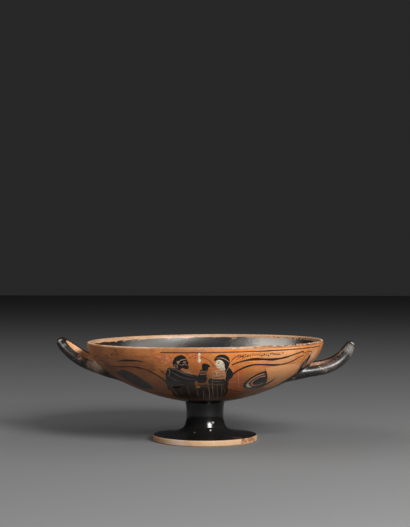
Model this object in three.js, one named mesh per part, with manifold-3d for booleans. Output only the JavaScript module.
// A black-figure drinking cup (kylix): a broad shallow bowl on a short stem and a disc foot, with two
// upturned loop handles. It was thrown in two parts, joined with slip and fired as one piece of clay,
// so it is one solid. Millimetres, +Z up, origin at the centre of the foot's underside, handles along X.

import * as THREE from "three";
import { mergeVertices } from "three/addons/utils/BufferGeometryUtils.js";
import Module from "manifold-3d";

// ---------- driving dimensions ----------

const RIM = {
  radius: 118,
  height: 99.6, // mean height of the lip's crown above the table
  thickness: 4, // the lip, seen from above
};
const WALL = { lip: 4, floor: 6.5 }; // the bowl's thickness, growing towards the stem
const FLOOR_HEIGHT = 45.4; // inside, on the axis

const FOOT = { radius: 52, edge: 6, corner: 1.1, ringInner: 36 };
const STEM = { waist: 18.5, waistHeight: 27, top: 19.7, base: 20, baseHeight: 17 };
const BOWL_START = { radius: 20.6, height: 39.4 }; // where the bowl leaves the stem
const HOLLOW = { radius: 9, neckHeight: 17, height: 30 }; // the cone inside the stem

// Both handles are round bars bent into loops. They were pulled by hand, so their rise differs.
const HANDLE = {
  rootReach: 78, // from the axis, inside the wall so that the bar bites into it
  tipReach: 144.4,
  rootSlope: 10,
  halfSpread: 30, // from the middle of the loop to each root
  squareness: 2.25, // 2 is a half ellipse, more is boxier
  rootRadius: 5.3,
  tipRadius: 4.7,
  rootFlare: 1.5, // extra radius where the bar is smeared onto the wall
};
const HANDLES = {
  left: { side: -1, rootHeight: 68.5, tipHeight: 99.1, tipSlope: 46 },
  right: { side: 1, rootHeight: 67.6, tipHeight: 93.4, tipSlope: 64 },
};

// The bowl sits a little askew on its stem: the rim leans down to the left.
const LEAN = { rise: 1.15, from: 40 };

const SEGMENTS = 60; // round the axis
const WALL_STEPS = 15; // from the stem to the lip
const HANDLE_STEPS = 30;
const HANDLE_SIDES = 6; // on each half of the round section

// ---------- profiles, as (radius, height) ----------

const outerWall = new THREE.CubicBezierCurve(
  new THREE.Vector2(BOWL_START.radius, BOWL_START.height),
  new THREE.Vector2(54.8, 44.0),
  new THREE.Vector2(112.7, 65.9),
  new THREE.Vector2(RIM.radius, RIM.height - RIM.thickness / 2),
);

// The inner wall keeps its distance from the outer one, measured square to it.
function innerWall() {
  const points = [];
  for (let i = 0; i <= WALL_STEPS; i++) {
    const t = 1 - i / WALL_STEPS;
    const thickness = THREE.MathUtils.lerp(WALL.floor, WALL.lip, t);
    const tangent = outerWall.getTangent(t);
    const inward = new THREE.Vector2(-tangent.y, tangent.x);
    points.push(outerWall.getPoint(t).addScaledVector(inward, thickness));
  }
  return points;
}

// The hollow under the foot, from its apex out to the ring that it stands on, and the foot's edge.
function undersideProfile() {
  const { radius, edge, corner, ringInner } = FOOT;
  const path = new THREE.Path();
  path.moveTo(0, HOLLOW.height);
  path.quadraticCurveTo(HOLLOW.radius * 0.8, HOLLOW.height, HOLLOW.radius, HOLLOW.neckHeight);
  path.bezierCurveTo(HOLLOW.radius + 1.5, 5, ringInner - 10, 6, ringInner, 0);
  path.lineTo(radius - corner, 0);
  path.lineTo(radius, corner);
  path.lineTo(radius, edge - corner);
  return path.getPoints(4);
}

// The foot's upper face, drawn up into the stem.
function stemProfile() {
  const path = new THREE.Path();
  path.moveTo(FOOT.radius - FOOT.corner, FOOT.edge);
  path.bezierCurveTo(34, 8, STEM.base + 0.8, 8.5, STEM.base, STEM.baseHeight);
  path.quadraticCurveTo(STEM.waist, 22, STEM.waist, STEM.waistHeight);
  path.quadraticCurveTo(STEM.waist, 34, STEM.top, BOWL_START.height - 1.2);
  return path.getPoints(5);
}

function lipProfile() {
  const half = RIM.thickness / 2;
  const lip = new THREE.EllipseCurve(RIM.radius - half, RIM.height - half, half, half, 0, Math.PI);
  return lip.getPoints(6).slice(1, -1);
}

function cupProfile() {
  const outside = outerWall.getPoints(WALL_STEPS);
  return [...undersideProfile(), ...stemProfile(), ...outside, ...lipProfile(), ...innerWall(),
    new THREE.Vector2(0, FLOOR_HEIGHT)];
}

// What fills the bowl, and the air above it: it trims the handles' ends flush with the inside.
function insideProfile() {
  const above = RIM.height + 30;
  return [new THREE.Vector2(0, FLOOR_HEIGHT), ...innerWall().reverse(),
    new THREE.Vector2(RIM.radius - RIM.thickness, above), new THREE.Vector2(0, above)];
}

function turned(profile) {
  return new THREE.LatheGeometry(profile, SEGMENTS).rotateX(Math.PI / 2);
}

// ---------- handles ----------

// The centreline of one loop: seen from above it is a half superellipse, seen from the side it
// follows a Bezier curve that steepens towards the tip.
class LoopCurve extends THREE.Curve {
  constructor({ side, rootHeight, tipHeight, tipSlope }) {
    super();
    const start = new THREE.Vector2(HANDLE.rootReach, rootHeight);
    const end = new THREE.Vector2(HANDLE.tipReach, tipHeight);
    const arm = start.distanceTo(end) * 0.4;
    const leave = THREE.MathUtils.degToRad(HANDLE.rootSlope);
    const arrive = THREE.MathUtils.degToRad(tipSlope);
    const out = new THREE.Vector2(Math.cos(leave), Math.sin(leave)).multiplyScalar(arm);
    const back = new THREE.Vector2(Math.cos(arrive), Math.sin(arrive)).multiplyScalar(-arm);
    this.side = side;
    this.rise = new THREE.CubicBezierCurve(start, out.add(start), back.add(end), end);
  }

  getPoint(t, target = new THREE.Vector3()) {
    const angle = Math.PI * (t - 0.5);
    const power = 2 / HANDLE.squareness;
    const along = Math.cos(angle) ** power;
    const across = Math.sign(angle) * Math.abs(Math.sin(angle)) ** power;
    const spot = this.rise.getPointAt(Math.min(1, Math.max(0, along)));
    return target.set(this.side * spot.x, -this.side * HANDLE.halfSpread * across, spot.y);
  }
}

// The bar's radius at t, from one root (0) over the tip (0.5) to the other root (1).
function barRadius(t) {
  const fromTip = Math.abs(2 * t - 1);
  const body = THREE.MathUtils.lerp(HANDLE.tipRadius, HANDLE.rootRadius, fromTip);
  return body + HANDLE.rootFlare * THREE.MathUtils.smoothstep(fromTip, 0.66, 0.9);
}

function handleBar(loop) {
  const section = new THREE.Shape().absarc(0, 0, 1, 0, 2 * Math.PI, false);
  const bar = new THREE.ExtrudeGeometry(section, {
    steps: HANDLE_STEPS,
    curveSegments: HANDLE_SIDES,
    extrudePath: loop,
    bevelEnabled: false,
  });
  // The section has a radius of 1; each ring of vertices is spread to the bar's radius there.
  const centres = loop.getSpacedPoints(HANDLE_STEPS);
  const position = bar.getAttribute("position");
  const vertex = new THREE.Vector3();
  for (let i = 0; i < position.count; i++) {
    vertex.fromBufferAttribute(position, i);
    const distances = centres.map((centre) => centre.distanceTo(vertex));
    const step = distances.indexOf(Math.min(...distances));
    const centre = centres[step];
    vertex.sub(centre).multiplyScalar(barRadius(step / HANDLE_STEPS)).add(centre);
    position.setXYZ(i, vertex.x, vertex.y, vertex.z);
  }
  return bar;
}

// ---------- joining ----------

const wasm = await Module();
wasm.setup();

function solidOf(geometry) {
  geometry.deleteAttribute("normal");
  geometry.deleteAttribute("uv");
  const merged = mergeVertices(geometry, 1e-3);
  const vertProperties = merged.getAttribute("position").array;
  const triVerts = new Uint32Array(merged.index.array);
  return new wasm.Manifold(new wasm.Mesh({ numProp: 3, vertProperties, triVerts }));
}

function geometryOf(solid) {
  const mesh = solid.getMesh();
  const geometry = new THREE.BufferGeometry();
  geometry.setAttribute("position", new THREE.BufferAttribute(mesh.vertProperties, 3));
  geometry.setIndex(new THREE.BufferAttribute(mesh.triVerts, 1));
  return geometry;
}

// Moves the points above the stem down on the left and up on the right, the most at the rim.
function leaning(geometry) {
  const position = geometry.getAttribute("position");
  for (let i = 0; i < position.count; i++) {
    const z = position.getZ(i);
    const share = THREE.MathUtils.smoothstep(z, LEAN.from, RIM.height);
    position.setZ(i, z + (share * LEAN.rise * position.getX(i)) / RIM.radius);
  }
  geometry.computeVertexNormals();
  return geometry;
}

const inside = solidOf(turned(insideProfile()));
let cup = solidOf(turned(cupProfile()));
for (const shape of Object.values(HANDLES)) {
  const bar = solidOf(handleBar(new LoopCurve(shape)));
  cup = cup.add(bar.subtract(inside));
}

const firedClay = new THREE.MeshStandardMaterial({ color: 0xb5683a, roughness: 0.45, metalness: 0 });
const kylix = new THREE.Mesh(leaning(geometryOf(cup)), firedClay);
kylix.name = "kylix";

const part = new THREE.Group();
part.add(kylix);

export default part;
